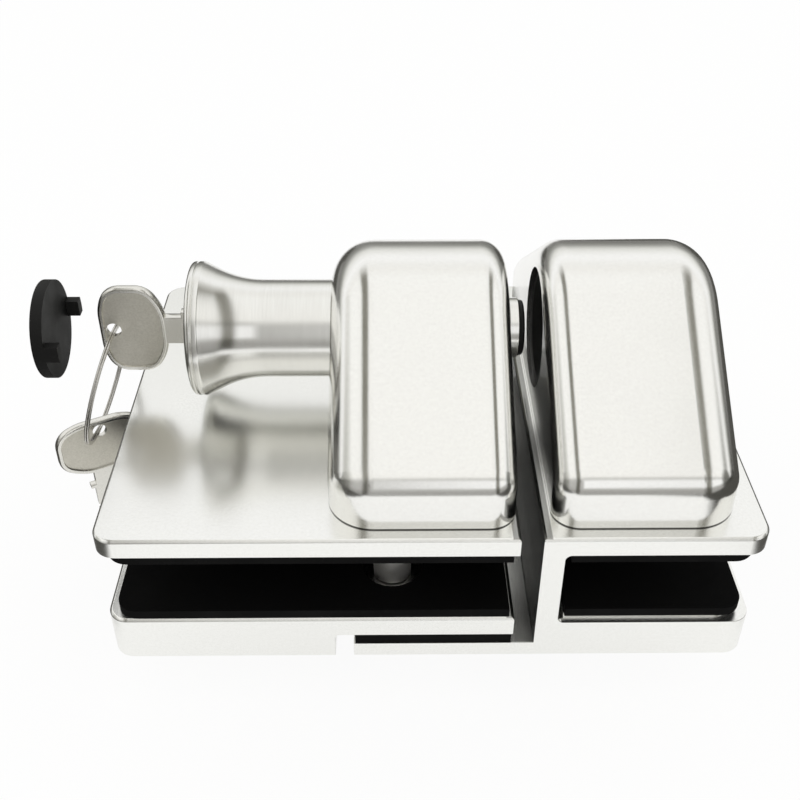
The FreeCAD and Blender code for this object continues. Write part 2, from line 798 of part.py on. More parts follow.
def spare_hang_point():
    """Centre of the ring's band at its lowest point, where the spare key hangs."""
    top = ring_hang_point()
    marker = Part.Vertex(top - Vector(0, 0, 2 * ring_mean_radius))
    return turned(marker, top).Point


def spare_key():
    """Second key, hanging blade down on the ring."""
    key = key_blank()
    key.rotate(Vector(0, 0, 0), Vector(0, 1, 0), 90)
    key.rotate(Vector(0, 0, 0), Vector(0, 0, 1), spare_yaw_deg)
    key.translate(spare_hang_point() - Vector(0, 0, spare_rest_gap))
    return key


def cap_peg(side, x0, x1, grow):
    """One peg of the cap, flush with its rim, or the socket that takes it."""
    half_width = peg_width / 2 + grow
    outside = side * (cap_radius + grow)
    inside = side * (cap_radius - peg_depth - grow)
    peg = box(x0, x1, min(inside, outside), max(inside, outside), axis_z - half_width, axis_z + half_width)
    return peg.common(rod(x0, x1, cap_radius + grow))


def cap_sockets():
    """Two pockets for the cap's pegs, cut where the lock barrel meets the knob."""
    end = recess_floor + peg_length + peg_clearance
    return [cap_peg(side, recess_floor - 1, end, peg_clearance) for side in (1, -1)]


def knob_cap():
    """Plastic cap of the keyhole, held off on the knob's axis."""
    face = knob_end - cap_to_knob
    disc = rod(face - cap_thickness, face, cap_radius)
    disc = disc.makeFillet(cap_round, round_edges(disc, face - cap_thickness, cap_radius))
    pegs = [cap_peg(side, face - cap_thickness / 2, face + peg_length, 0) for side in (1, -1)]
    return disc.fuse(pegs).removeSplitter()


def striker_cup():
    """Dark cup in the keeper that the bolt enters, with a wide mouth and a pocket for the magnet."""
    face = keeper_housing_left + striker_recess
    wall_inside = keeper_housing_left + housing_wall
    bore_end = face + striker_bore_end
    pocket_end = bore_end + magnet_length
    body = rod(face, wall_inside, striker_radius)
    flange = rod(wall_inside, wall_inside + striker_flange_length, striker_flange_radius)
    sleeve = rod(wall_inside, pocket_end, striker_tube_radius)
    body = body.fuse([flange, sleeve]).removeSplitter()
    mouth = Part.makeCone(striker_mouth_radius, striker_bore_radius, striker_cone_length,
                          Vector(face, 0, axis_z), Vector(1, 0, 0))
    bore = rod(face, bore_end + 1, striker_bore_radius)
    pocket = rod(bore_end, pocket_end + 1, magnet_radius + bush_seat_clearance)
    return body.cut(mouth.fuse([bore, pocket]))


def striker_magnet():
    """Magnet behind the striker's bore."""
    start = keeper_housing_left + striker_recess + striker_bore_end
    return rod(start, start + magnet_length, magnet_radius)


def write_parts():
    """Build every node and write it under its own name."""
    os.makedirs("parts", exist_ok=True)
    nodes = {
        "latch_front_plate": latch_front_plate(),
        "latch_back_plate": latch_back_plate(),
        "latch_front_gasket": latch_gasket(half_glass),
        "latch_back_gasket": latch_gasket(-half_slot),
        "latch_housing": latch_housing(),
        "glass_studs": glass_studs(),
        "clamp_screws": clamp_screws(),
        "knob_bush": knob_bush(),
        "bolt_bush": bolt_bush(),
        "return_spring": return_spring(),
        "knob": knob(),
        "bolt": bolt(),
        "bolt_tip": bolt_tip(),
        "pin_screw": pin_screw(),
        "lock_barrel": lock_barrel(),
        "lock_plug": lock_plug(),
        "plug_clip": plug_clip(),
        "lock_cam": lock_cam(),
        "key_in_lock": key_in_lock(),
        "split_ring": split_ring(),
        "spare_key": spare_key(),
        "knob_cap": knob_cap(),
        "keeper_body": keeper_body(),
        "keeper_front_gasket": keeper_gasket(half_glass),
        "keeper_back_gasket": keeper_gasket(-half_slot),
        "pressure_plate": pressure_plate(),
        "keeper_set_screws": keeper_set_screws(),
        "keeper_housing": keeper_housing(),
        "keeper_housing_screws": keeper_housing_screws(),
        "stop_pad": stop_pad(),
        "striker_cup": striker_cup(),
        "striker_magnet": striker_magnet(),
    }
    for name, shape in nodes.items():
        sound = shape.isValid()
        print(name, len(shape.Solids), "solids", round(shape.Volume, 1), "mm3", "" if sound else "NOT VALID")
        shape.exportStep("parts/" + name + ".step")


write_parts()
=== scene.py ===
"""Studio look of a glass gate latch: bolt unit, keeper, keys on their ring and the knob's loose cap.

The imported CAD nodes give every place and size. This script dresses them and models the turned, stamped
and moulded pieces finely enough for a close view. Sizes are in millimetres and become metres in the mesh.
+X runs along the bolt towards the keeper, +Y across the plates and +Z out of the glass.
"""
from __future__ import annotations

import json
import logging
import math
from dataclasses import dataclass
from enum import Enum
from typing import Callable, Iterable

import bpy
from mathutils import Matrix, Vector

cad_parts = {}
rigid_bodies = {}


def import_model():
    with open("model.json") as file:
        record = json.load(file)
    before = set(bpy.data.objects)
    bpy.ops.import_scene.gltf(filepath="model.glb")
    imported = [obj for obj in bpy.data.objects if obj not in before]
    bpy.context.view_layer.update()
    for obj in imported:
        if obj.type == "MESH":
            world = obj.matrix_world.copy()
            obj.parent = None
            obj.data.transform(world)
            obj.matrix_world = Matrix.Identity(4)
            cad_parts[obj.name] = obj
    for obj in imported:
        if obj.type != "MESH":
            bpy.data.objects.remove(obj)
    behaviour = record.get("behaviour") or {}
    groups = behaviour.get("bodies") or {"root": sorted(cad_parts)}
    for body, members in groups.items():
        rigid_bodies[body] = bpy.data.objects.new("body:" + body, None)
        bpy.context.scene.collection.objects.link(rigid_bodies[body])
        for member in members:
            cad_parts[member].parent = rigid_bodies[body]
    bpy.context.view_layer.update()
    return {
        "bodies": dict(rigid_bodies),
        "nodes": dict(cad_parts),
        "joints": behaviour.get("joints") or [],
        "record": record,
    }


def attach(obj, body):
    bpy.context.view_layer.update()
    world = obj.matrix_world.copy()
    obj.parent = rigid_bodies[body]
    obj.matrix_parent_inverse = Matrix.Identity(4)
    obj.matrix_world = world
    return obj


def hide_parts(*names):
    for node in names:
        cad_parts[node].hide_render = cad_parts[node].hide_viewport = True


LOG = logging.getLogger("gate_latch")
MM = 0.001
AXIS_Z = 28.0
# Faces round a turned piece
ROUND_SIDES = 144
Point = tuple[float, float, float]
Profile = list[tuple[float, float]]
Corners = list[tuple[float, float, float]]
Stops = tuple[tuple[float, str], ...]
Test = Callable[[Vector, Vector], bool]
Piece = bpy.types.Object
Material = bpy.types.Material
Tree = bpy.types.NodeTree
Node = bpy.types.Node
Socket = bpy.types.NodeSocket


class Body(Enum):
    """The bodies that pieces ride on."""

    HALVES = "clamped_halves"
    BOLT = "sliding_bolt"
    PLUG = "turning_plug"
    RING = "hanging_ring"
    SPARE = "hanging_key"


class Grain(Enum):
    """Which way the marks on a metal run: every way, or in rings round the bolt line."""

    CAST = "cast"
    TURNED = "turned"


class Join(Enum):
    """How one solid is combined with another."""

    ADD = "UNION"
    CUT = "DIFFERENCE"
    SHARE = "INTERSECT"


def linear(colour: str) -> tuple[float, float, float, float]:
    """Turn an sRGB hex colour into linear values.

    Args:
        colour: hex digits such as "E8E6E0".

    Returns:
        Red, green, blue and alpha for a shader socket.
    """
    parts = [int(colour[i:i + 2], 16) / 255 for i in (0, 2, 4)]
    return tuple(c / 12.92 if c <= 0.04045 else ((c + 0.055) / 1.055) ** 2.4 for c in parts) + (1.0,)


def add(tree: Tree, kind: str, settings: dict | None = None, links: dict | None = None) -> Node:
    """Add a node with its settings and links.

    Args:
        tree: the material's node tree.
        kind: the node's Blender type name.
        settings: attribute name, input name or input index to value.
        links: input name or index to the output socket that feeds it.

    Returns:
        The new node.
    """
    node = tree.nodes.new(kind)
    for key, value in (settings or {}).items():
        if isinstance(key, str) and hasattr(node, key):
            setattr(node, key, value)
        else:
            node.inputs[key].default_value = value
    for key, socket in (links or {}).items():
        tree.links.new(socket, node.inputs[key])
    return node


def reckon(tree: Tree, operation: str, *values: Socket | float) -> Socket:
    """Add a math node on sockets or numbers and give its result."""
    node = add(tree, "ShaderNodeMath", {"operation": operation})
    for port, value in zip(node.inputs, values):
        if isinstance(value, Socket):
            tree.links.new(value, port)
        else:
            port.default_value = value
    return node.outputs[0]


def fit(tree: Tree, value: Socket, start: float, stop: float, low: float = 0.0, high: float = 1.0) -> Socket:
    """Add a node that maps start to low and stop to high, and give its result."""
    ends = {"From Min": start, "From Max": stop, "To Min": low, "To Max": high}
    return add(tree, "ShaderNodeMapRange", ends, {"Value": value}).outputs[0]


def blend(tree: Tree, share: Socket, first: Socket | str, second: Socket | str, how: str = "MIX") -> Socket:
    """Add a mix of two colours, each a socket or an sRGB hex colour, and give its result."""
    node = add(tree, "ShaderNodeMix", {"data_type": "RGBA", "blend_type": how}, {0: share})
    for index, colour in ((6, first), (7, second)):
        if isinstance(colour, str):
            node.inputs[index].default_value = linear(colour)
        else:
            tree.links.new(colour, node.inputs[index])
    return node.outputs[2]


def blank(name: str) -> tuple[Material, Tree, Node, Socket]:
    """Start a material.

    Args:
        name: the finish's name.

    Returns:
        The material, its tree, its shader and the object coordinates.
    """
    material = bpy.data.materials.new(name)
    material.use_nodes = True
    tree = material.node_tree
    shader = tree.nodes["Principled BSDF"]
    place = add(tree, "ShaderNodeTexCoord").outputs["Object"]
    return material, tree, shader, place


@dataclass(frozen=True)
class Metal:
    """A bare or plated metal with the marks of how its surface was made, and optional painted shade at its
    foot and beside the gap.
    """

    name: str
    colour: str
    shade: str
    roughness: float
    grain_mm: float
    relief_mm: float
    cloud_mm: float
    cloud: float
    grain: Grain = Grain.CAST
    streak: float = 1.0
    # Painted shade: a dark line just above foot_mm, and a darker strip within gap_mm of the middle
    foot_mm: float | None = None
    joint_mm: tuple[float, float] = (0.16, 0.34)
    gap_mm: float | None = None
    gap_blur_mm: float = 0.2
    gap_depth_mm: tuple[float, float] = (44.1, 44.3)

    def material(self) -> Material:
        """Build the node material.

        Returns:
            The finished material.
        """
        material, tree, shader, place = blank(self.name)
        fine = 1 / (self.grain_mm * MM)
        long = fine / self.streak
        stretch = {Grain.CAST: (fine, fine, fine), Grain.TURNED: (fine, long, long)}[self.grain]
        spread = add(tree, "ShaderNodeMapping", {"Scale": stretch}, {"Vector": place})
        marks = add(tree, "ShaderNodeTexNoise", {"Scale": 1.0, "Detail": 4.0, "Roughness": 0.6},
                    {"Vector": spread.outputs[0]})
        clouds = add(tree, "ShaderNodeTexNoise", {"Scale": 1 / (self.cloud_mm * MM), "Detail": 2.0},
                     {"Vector": place})
        colour = blend(tree, marks.outputs["Fac"], self.shade, self.colour)
        spots = fit(tree, clouds.outputs["Fac"], 0.3, 0.7,
                    self.roughness - self.cloud, self.roughness + self.cloud)
        bump = add(tree, "ShaderNodeBump", {"Strength": 0.6, "Distance": self.relief_mm * MM},
                   {"Height": marks.outputs["Fac"]})
        # Painted shade at the foot joint and beside the gap between the halves
        if self.foot_mm is not None:
            colour = self.painted_foot_shade(tree, place, colour)
        if self.gap_mm is not None:
            colour = self.painted_gap_shade(tree, place, colour)
        shader.inputs["Metallic"].default_value = 1.0
        tree.links.new(colour, shader.inputs["Base Color"])
        tree.links.new(spots, shader.inputs["Roughness"])
        tree.links.new(bump.outputs[0], shader.inputs["Normal"])
        return material

    def painted_foot_shade(self, tree: Tree, place: Socket, colour: Socket) -> Socket:
        """Paint shade along the joint where the metal stands on its plate.

        Args:
            tree: the material's node tree.
            place: the object coordinates.
            colour: the metal's colour.

        Returns:
            The colour with the painted shade line in it.
        """
        height = add(tree, "ShaderNodeSeparateXYZ", None, {0: place}).outputs[2]
        low, high = ((self.foot_mm + rise) * MM for rise in self.joint_mm)
        # Painted shade: a dark line just above the foot, colour 4A4946
        return blend(tree, fit(tree, height, low, high), "4A4946", colour)

    def painted_gap_shade(self, tree: Tree, place: Socket, colour: Socket) -> Socket:
        """Paint shade on the ends that face each other across the gap, but not on the plates' outer faces.

        Args:
            tree: the material's node tree.
            place: the object coordinates.
            colour: the metal's colour.

        Returns:
            The colour with the painted shade strip in it.
        """
        parts = add(tree, "ShaderNodeSeparateXYZ", None, {0: place}).outputs
        off, deep = (reckon(tree, "ABSOLUTE", parts[i]) for i in (0, 1))
        beside = fit(tree, off, (self.gap_mm - self.gap_blur_mm) * MM, self.gap_mm * MM)
        start, stop = (depth * MM for depth in self.gap_depth_mm)
        clear = reckon(tree, "MAXIMUM", beside, fit(tree, deep, start, stop))
        # Painted shade beside the gap between the halves, colour A9A9A6
        return blend(tree, clear, "A9A9A6", colour)


@dataclass(frozen=True)
class Moulded:
    """Rubber or plastic with a fine moulded texture."""

    name: str
    colour: str
    dust: str
    roughness: float
    pitch_mm: float
    relief_mm: float
    ior: float
    gloss: float
    swing: float = 0.08

    def material(self) -> Material:
        """Build the node material.

        Returns:
            The finished material.
        """
        material, tree, shader, place = blank(self.name)
        texture = add(tree, "ShaderNodeTexNoise",
                      {"Scale": 1 / (self.pitch_mm * MM), "Detail": 5.0, "Roughness": 0.65},
                      {"Vector": place})
        spread = add(tree, "ShaderNodeTexNoise", {"Scale": 1 / (9 * MM), "Detail": 3.0}, {"Vector": place})
        specks = fit(tree, texture.outputs["Fac"], 0.58, 0.80, 0.0, 0.5)
        tone = blend(tree, specks, self.colour, self.dust)
        sheen = fit(tree, spread.outputs["Fac"], 0.3, 0.7,
                    self.roughness - self.swing, self.roughness + self.swing)
        bump = add(tree, "ShaderNodeBump", {"Strength": 0.7, "Distance": self.relief_mm * MM},
                   {"Height": texture.outputs["Fac"]})
        shader.inputs["IOR"].default_value = self.ior
        shader.inputs["Specular IOR Level"].default_value = self.gloss
        tree.links.new(tone, shader.inputs["Base Color"])
        tree.links.new(sheen, shader.inputs["Roughness"])
        tree.links.new(bump.outputs[0], shader.inputs["Normal"])
        return material


class Finishes:
    """Every finish of the latch, made once.

    Blasting, tumbling and moulding leave marks of about 0.1 mm. They are drawn several times coarser, so
    that they show at the photo's distance.
    """

    def __init__(self) -> None:
        """Build the materials."""
        # Cold-rolled plate, bead-blasted and lightly polished: near-white with a fine even sparkle,
        # and painted shade on the ends that face each other across the gap
        self.plate = Metal("bead_blasted_stainless_plate", "FFFFFD", "EFEFEB", 0.23, grain_mm=0.50,
                           relief_mm=0.010, cloud_mm=18.0, cloud=0.02, gap_mm=3.6).material()
        # Investment casting polished by hand: smooth, soft unevenness in the gloss, and painted shade along
        # the joint at its foot
        self.cast = Metal("polished_cast_stainless", "FBFBF8", "EEEDEA", 0.17, grain_mm=0.50,
                          relief_mm=0.009, cloud_mm=12.0, cloud=0.02, foot_mm=12.0).material()
        # Lathe-turned and buffed: fine rings round the axis
        self.turned = Metal("turned_stainless", "F6F6F3", "E8E7E3", 0.19, grain_mm=0.22, relief_mm=0.0022,
                            cloud_mm=10.0, cloud=0.03, grain=Grain.TURNED, streak=30.0).material()
        # Screws and studs as they come off the machine: dull, so they catch the light in the dark slot
        self.stud = Metal("machined_stainless", "F6F5F2", "E2E0DA", 0.50, grain_mm=0.25, relief_mm=0.003,
                          cloud_mm=5.0, cloud=0.05).material()
        # Nickel-plated brass key stock, stamped and tumbled: its rims are rubbed bright
        self.nickel = Metal("tumbled_nickel_plate", "F2F1EC", "E0DED7", 0.24, grain_mm=0.45, relief_mm=0.006,
                            cloud_mm=6.0, cloud=0.05).material()
        # Sunk field of the key's bow: pitted by the stamp, warmer and duller than the rim
        self.field = Metal("stamped_nickel_field", "E9E6DC", "C4C0B4", 0.40, grain_mm=0.40, relief_mm=0.02,
                           cloud_mm=4.0, cloud=0.05).material()
        # Nickel-plated spring wire: bright and smooth
        self.wire = Metal("nickel_plated_wire", "DCDAD5", "C9C6C0", 0.20, grain_mm=0.5, relief_mm=0.002,
                          cloud_mm=5.0, cloud=0.05).material()
        # Zinc-plated steel: cooler and duller than the stainless
        self.zinc = Metal("zinc_plated_steel", "B9BCC0", "9A9DA2", 0.36, grain_mm=0.5, relief_mm=0.004,
                          cloud_mm=4.0, cloud=0.06).material()
        # Black EPDM sheet: matte, with faint pale specks of talc
        self.rubber = Moulded("black_epdm_rubber", "040404", "1B1A18", 0.80, pitch_mm=0.55, relief_mm=0.03,
                              ior=1.52, gloss=0.12).material()
        # Glass-filled black nylon: slightly rough, a touch of gloss on the edges
        self.nylon = Moulded("black_moulded_nylon", "0A0A09", "26251F", 0.60, pitch_mm=0.35, relief_mm=0.02,
                             ior=1.53, gloss=0.28).material()
        # Striker of grey-black filled nylon: flat and a little lighter than the bush beside it
        self.striker = Moulded("grey_black_filled_nylon", "242423", "343432", 0.62, pitch_mm=0.4,
                               relief_mm=0.01, ior=1.53, gloss=0.3).material()
        # Polished black acetal, as used for bushes
        self.acetal = Moulded("black_acetal", "0B0B0C", "1F1F1F", 0.46, pitch_mm=0.8, relief_mm=0.006,
                              ior=1.48, gloss=0.3).material()


class Bench:
    """Modelling moves made with Blender's own operators."""

    @staticmethod
    def clear() -> None:
        """Leave edit mode and deselect everything."""
        if bpy.context.object and bpy.context.object.mode != "OBJECT":
            bpy.ops.object.mode_set(mode="OBJECT")
        bpy.ops.object.select_all(action="DESELECT")

    @staticmethod
    def pick(piece: Piece) -> None:
        """Select one piece and make it active."""
        Bench.clear()
        piece.select_set(True)
        bpy.context.view_layer.objects.active = piece

    @staticmethod
    def seed(name: str, place: Point) -> Piece:
        """Start a piece from a single vertex.

        Args:
            name: the piece's name.
            place: the vertex in millimetres.

        Returns:
            The piece, in edit mode with its vertex selected.
        """
        Bench.clear()
        bpy.ops.mesh.primitive_plane_add(size=0.002, location=(0, 0, 0))
        piece = bpy.context.object
        piece.name = name
        bpy.ops.object.mode_set(mode="EDIT")
        bpy.ops.mesh.select_mode(type="VERT")
        bpy.ops.mesh.select_all(action="SELECT")
        bpy.ops.mesh.merge(type="CENTER")
        bpy.ops.transform.translate(value=Vector(place) * MM)
        return piece

    @staticmethod
    def draw(points: Iterable[Point], start: Point) -> None:
        """Extrude the selected vertex from point to point.

        Args:
            points: where the line goes, in millimetres.
            start: where it is now.
        """
        last = Vector(start)
        for point in points:
            step = Vector(point) - last
            bpy.ops.mesh.extrude_region_move(TRANSFORM_OT_translate={"value": step * MM})
            last = Vector(point)

    @staticmethod
    def tidy(merge_mm: float = 0.002) -> None:
        """Merge doubles, turn the faces outwards and leave edit mode."""
        bpy.ops.mesh.select_all(action="SELECT")
        bpy.ops.mesh.remove_doubles(threshold=merge_mm * MM)
        bpy.ops.mesh.normals_make_consistent(inside=False)
        bpy.ops.object.mode_set(mode="OBJECT")

    @staticmethod
    def lathe(name: str, profile: Profile) -> Piece:
        """Turn a profile about the bolt line.

        Args:
            name: the piece's name.
            profile: (x, radius) pairs in millimetres.

        Returns:
            The turned piece.
        """
        points = [(x, 0.0, AXIS_Z + r) for x, r in profile]
        piece = Bench.seed(name, points[0])
        Bench.draw(points[1:], points[0])
        bpy.ops.mesh.select_all(action="SELECT")
        bpy.ops.mesh.spin(steps=ROUND_SIDES, angle=2 * math.pi, center=(0, 0, AXIS_Z * MM), axis=(1, 0, 0))
        Bench.tidy()
        return piece

    @staticmethod
    def prism(name: str, outline: list[Point], travel: Point) -> Piece:
        """Fill a closed outline and extrude it into a solid.

        Args:
            name: the piece's name.
            outline: corner points in millimetres, in one plane.
            travel: the extrusion in millimetres.

        Returns:
            The solid.
        """
        piece = Bench.seed(name, outline[0])
        Bench.draw(outline[1:] + [outline[0]], outline[0])
        bpy.ops.mesh.select_all(action="SELECT")
        bpy.ops.mesh.remove_doubles(threshold=0.002 * MM)
        bpy.ops.mesh.select_all(action="SELECT")
        bpy.ops.mesh.edge_face_add()
        bpy.ops.mesh.extrude_region_move(TRANSFORM_OT_translate={"value": Vector(travel) * MM})
        Bench.tidy()
        return piece

    @staticmethod
    def block(name: str, low: Point, high: Point) -> Piece:
        """Box between two corners, as a start for a piece or as a cutter, in millimetres."""
        Bench.clear()
        centre = (Vector(low) + Vector(high)) / 2 * MM
        size = (Vector(high) - Vector(low)) * MM
        bpy.ops.mesh.primitive_cube_add(size=1, location=centre, scale=size)
        bpy.ops.object.transform_apply(location=True, rotation=True, scale=True)
        bpy.context.object.name = name
        return bpy.context.object

    @staticmethod
    def drum(name: str, centre: Point, axis: Point, radius: float, length: float, sides: int) -> Piece:
        """Cylinder centred at a point, as a cutter."""
        Bench.clear()
        turn = Vector((0, 0, 1)).rotation_difference(Vector(axis)).to_euler()
        bpy.ops.mesh.primitive_cylinder_add(vertices=sides, radius=radius * MM, depth=length * MM,
                                            location=Vector(centre) * MM, rotation=turn)
        bpy.ops.object.transform_apply(location=True, rotation=True, scale=True)
        bpy.context.object.name = name
        return bpy.context.object

    @staticmethod
    def combine(piece: Piece, tool: Piece, how: Join) -> None:
        """Apply a boolean of one piece on another and remove the tool.

        Args:
            piece: the piece that stays.
            tool: the cutter or the piece that joins.
            how: what the boolean does.
        """
        Bench.pick(piece)
        cut = piece.modifiers.new("combine", "BOOLEAN")
        cut.object = tool
        cut.operation = how.value
        cut.solver = "EXACT"
        bpy.ops.object.modifier_apply(modifier=cut.name)
        bpy.data.objects.remove(tool)

    @staticmethod
    def select_faces(piece: Piece, test: Test) -> None:
        """Enter edit mode with only some faces selected.

        Args:
            piece: the piece.
            test: takes a face's centre in millimetres and its normal.
        """
        Bench.pick(piece)
        bpy.ops.object.mode_set(mode="EDIT")
        bpy.ops.mesh.select_mode(type="FACE")
        bpy.ops.mesh.select_all(action="DESELECT")
        bpy.ops.object.mode_set(mode="OBJECT")
        for face in piece.data.polygons:
            face.select = test(face.center / MM, face.normal)
        bpy.ops.object.mode_set(mode="EDIT")

    @staticmethod
    def soften(piece: Piece, width: float, segments: int, angle: float) -> None:
        """Round the sharp edges of a piece with an applied bevel.

        Args:
            piece: the piece.
            width: the bevel's width in millimetres.
            segments: faces across the bevel.
            angle: edges sharper than this are rounded, in degrees.
        """
        Bench.pick(piece)
        bevel = piece.modifiers.new("soften", "BEVEL")
        bevel.width = width * MM
        bevel.segments = segments
        bevel.limit_method = "ANGLE"
        bevel.angle_limit = math.radians(angle)
        bpy.ops.object.modifier_apply(modifier=bevel.name)

    @staticmethod
    def smooth(piece: Piece, angle: float) -> None:
        """Shade smooth across edges flatter than an angle, with flat faces kept flat."""
        Bench.pick(piece)
        bpy.ops.object.shade_smooth_by_angle(angle=math.radians(angle))
        weight = piece.modifiers.new("flat_faces", "WEIGHTED_NORMAL")
        weight.keep_sharp = True
        bpy.ops.object.modifier_apply(modifier=weight.name)

    @staticmethod
    def turn(piece: Piece, angle_deg: float, axis: str, centre: Point) -> None:
        """Turn a piece's mesh about a point.

        Args:
            piece: the piece.
            angle_deg: right-handed angle in degrees.
            axis: X, Y or Z.
            centre: the point in millimetres.
        """
        spot = Matrix.Translation(Vector(centre) * MM)
        piece.matrix_world = spot @ Matrix.Rotation(math.radians(angle_deg), 4, axis) @ spot.inverted()
        Bench.pick(piece)
        bpy.ops.object.transform_apply(location=True, rotation=True, scale=True)

    @staticmethod
    def shift(piece: Piece, travel: Point) -> None:
        """Move a piece's mesh by a travel in millimetres."""
        piece.matrix_world = Matrix.Translation(Vector(travel) * MM)
        Bench.pick(piece)
        bpy.ops.object.transform_apply(location=True, rotation=True, scale=True)

    @staticmethod
    def copy(piece: Piece, name: str) -> Piece:
        """Copy a piece with a mesh of its own.

        Args:
            piece: the piece to copy.
            name: the copy's name.

        Returns:
            The copy, free of any parent.
        """
        Bench.pick(piece)
        bpy.ops.object.duplicate(linked=False)
        twin = bpy.context.object
        twin.name = name
        bpy.ops.object.parent_clear(type="CLEAR_KEEP_TRANSFORM")
        bpy.ops.object.transform_apply(location=True, rotation=True, scale=True)
        return twin

    @staticmethod
    def refine(node: Piece, name: str, width: float) -> Piece:
        """Work a merged copy of a CAD node up into a piece with softened edges.

        Args:
            node: the CAD node, left as it is.
            name: the new piece's name.
            width: bevel width in millimetres.

        Returns:
            The refined copy.
        """
        piece = Bench.copy(node, name)
        if piece.data.has_custom_normals:
            bpy.ops.mesh.customdata_custom_splitnormals_clear()
        bpy.ops.object.mode_set(mode="EDIT")
        bpy.ops.mesh.select_all(action="SELECT")
        bpy.ops.mesh.remove_doubles(threshold=0.001 * MM)
        bpy.ops.mesh.dissolve_limited(angle_limit=math.radians(0.4))
        Bench.tidy(0.001)
        Bench.soften(piece, width, segments=2, angle=24)
        Bench.smooth(piece, angle=30)
        return piece

    @staticmethod
    def finish(piece: Piece, material: Material, body: Body, slot: str, stands_for: tuple[str, ...]) -> None:
        """Give a piece its material and body, and hide the CAD nodes it stands for.

        Args:
            piece: the piece.
            material: its finish.
            body: what it moves with.
            slot: not used.
            stands_for: CAD nodes that it replaces.
        """
        piece.data.materials.clear()
        piece.data.materials.append(material)
        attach(piece, body.value)
        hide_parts(*stands_for)
        LOG.info("%s: %d faces on %s", piece.name, len(piece.data.polygons), body.value)


def rounded(corners: Corners, steps: int = 6) -> Profile:
    """Round the corners of a lathe profile.

    Args:
        corners: (x, radius, corner radius) in millimetres; the two ends stay as they are.
        steps: segments in each rounded corner.

    Returns:
        The profile's points.
    """
    points: Profile = [corners[0][:2]]
    for before, here, after in zip(corners, corners[1:], corners[2:]):
        if here[2] <= 0:
            points.append(here[:2])
            continue
        spot = Vector(here[:2])
        one, two = (Vector(before[:2]) - spot).normalized(), (Vector(after[:2]) - spot).normalized()
        half = one.angle(two) / 2
        reach = here[2] / math.tan(half)
        centre = spot + (one + two).normalized() * here[2] / math.sin(half)
        first, last = spot + one * reach - centre, spot + two * reach - centre
        sweep = first.angle_signed(last)
        for step in range(steps + 1):
            arm = first.copy()
            arm.rotate(Matrix.Rotation(-sweep * step / steps, 2))
            points.append(tuple(centre + arm))
    points.append(corners[-1][:2])
    return points


def rounded_loop(corners: Corners, steps: int) -> Profile:
    """Round the corners of a closed outline.

    Args:
        corners: (x, z, corner radius) in millimetres, in order.
        steps: segments in each rounded corner.

    Returns:
        The outline's points from the middle of its closing side, without repeating the first.
    """
    first, last = corners[0], corners[-1]
    middle = ((first[0] + last[0]) / 2, (first[1] + last[1]) / 2, 0.0)
    return rounded([middle, *corners, middle], steps)[:-1]


@dataclass(frozen=True)
class Refined:
    """A CAD node that is worked up with softened edges."""

    node: str
    finish: str
    slot: str
    width: float
    body: Body = Body.HALVES


@dataclass
class Halves:
    """Plates, soft sheets, turned pieces and fasteners that start from their CAD shape."""

    looks: Finishes
    frame: dict
    refined: tuple[Refined, ...] = (
        Refined("latch_front_plate", "plate", "satin_stainless", 0.12),
        Refined("latch_back_plate", "plate", "satin_stainless", 0.12),
        Refined("keeper_body", "plate", "satin_stainless", 0.12),
        Refined("pressure_plate", "plate", "satin_stainless", 0.10),
        Refined("latch_front_gasket", "rubber", "black_rubber", 0.15),
        Refined("latch_back_gasket", "rubber", "black_rubber", 0.15),
        Refined("keeper_front_gasket", "rubber", "black_rubber", 0.15),
        Refined("keeper_back_gasket", "rubber", "black_rubber", 0.15),
        Refined("stop_pad", "rubber", "black_rubber", 0.15),
        Refined("glass_studs", "stud", "turned_steel", 0.12),
        Refined("clamp_screws", "stud", "turned_steel", 0.10),
        Refined("bolt", "turned", "turned_steel", 0.15, Body.BOLT),
        Refined("bolt_tip", "acetal", "black_plastic", 0.12, Body.BOLT),
        Refined("bolt_bush", "acetal", "black_plastic", 0.15),
        Refined("striker_cup", "striker", "black_plastic", 0.20),
        Refined("lock_barrel", "nickel", "nickel", 0.12, Body.BOLT),
        Refined("lock_plug", "nickel", "nickel", 0.10, Body.PLUG),
    )
    # Nodes that keep their CAD mesh: the housings, rolled in the solid already, and what nothing shows
    plain: tuple[tuple[str, tuple[str, ...]], ...] = (
        ("cast", ("latch_housing", "keeper_housing")),
        ("stud", ("keeper_set_screws", "keeper_housing_screws")),
        ("acetal", ("knob_bush",)),
        ("zinc", ("striker_magnet", "pin_screw", "lock_cam", "return_spring", "plug_clip")),
    )

    def build(self) -> None:
        """Refine what shows and give the rest its finish."""
        for item in self.refined:
            piece = Bench.refine(self.frame["nodes"][item.node], item.node + "_refined", item.width)
            Bench.finish(piece, getattr(self.looks, item.finish), item.body, item.slot, (item.node,))
        for finish, names in self.plain:
            for name in names:
                piece = self.frame["nodes"][name]
                piece.data.materials.clear()
                piece.data.materials.append(getattr(self.looks, finish))


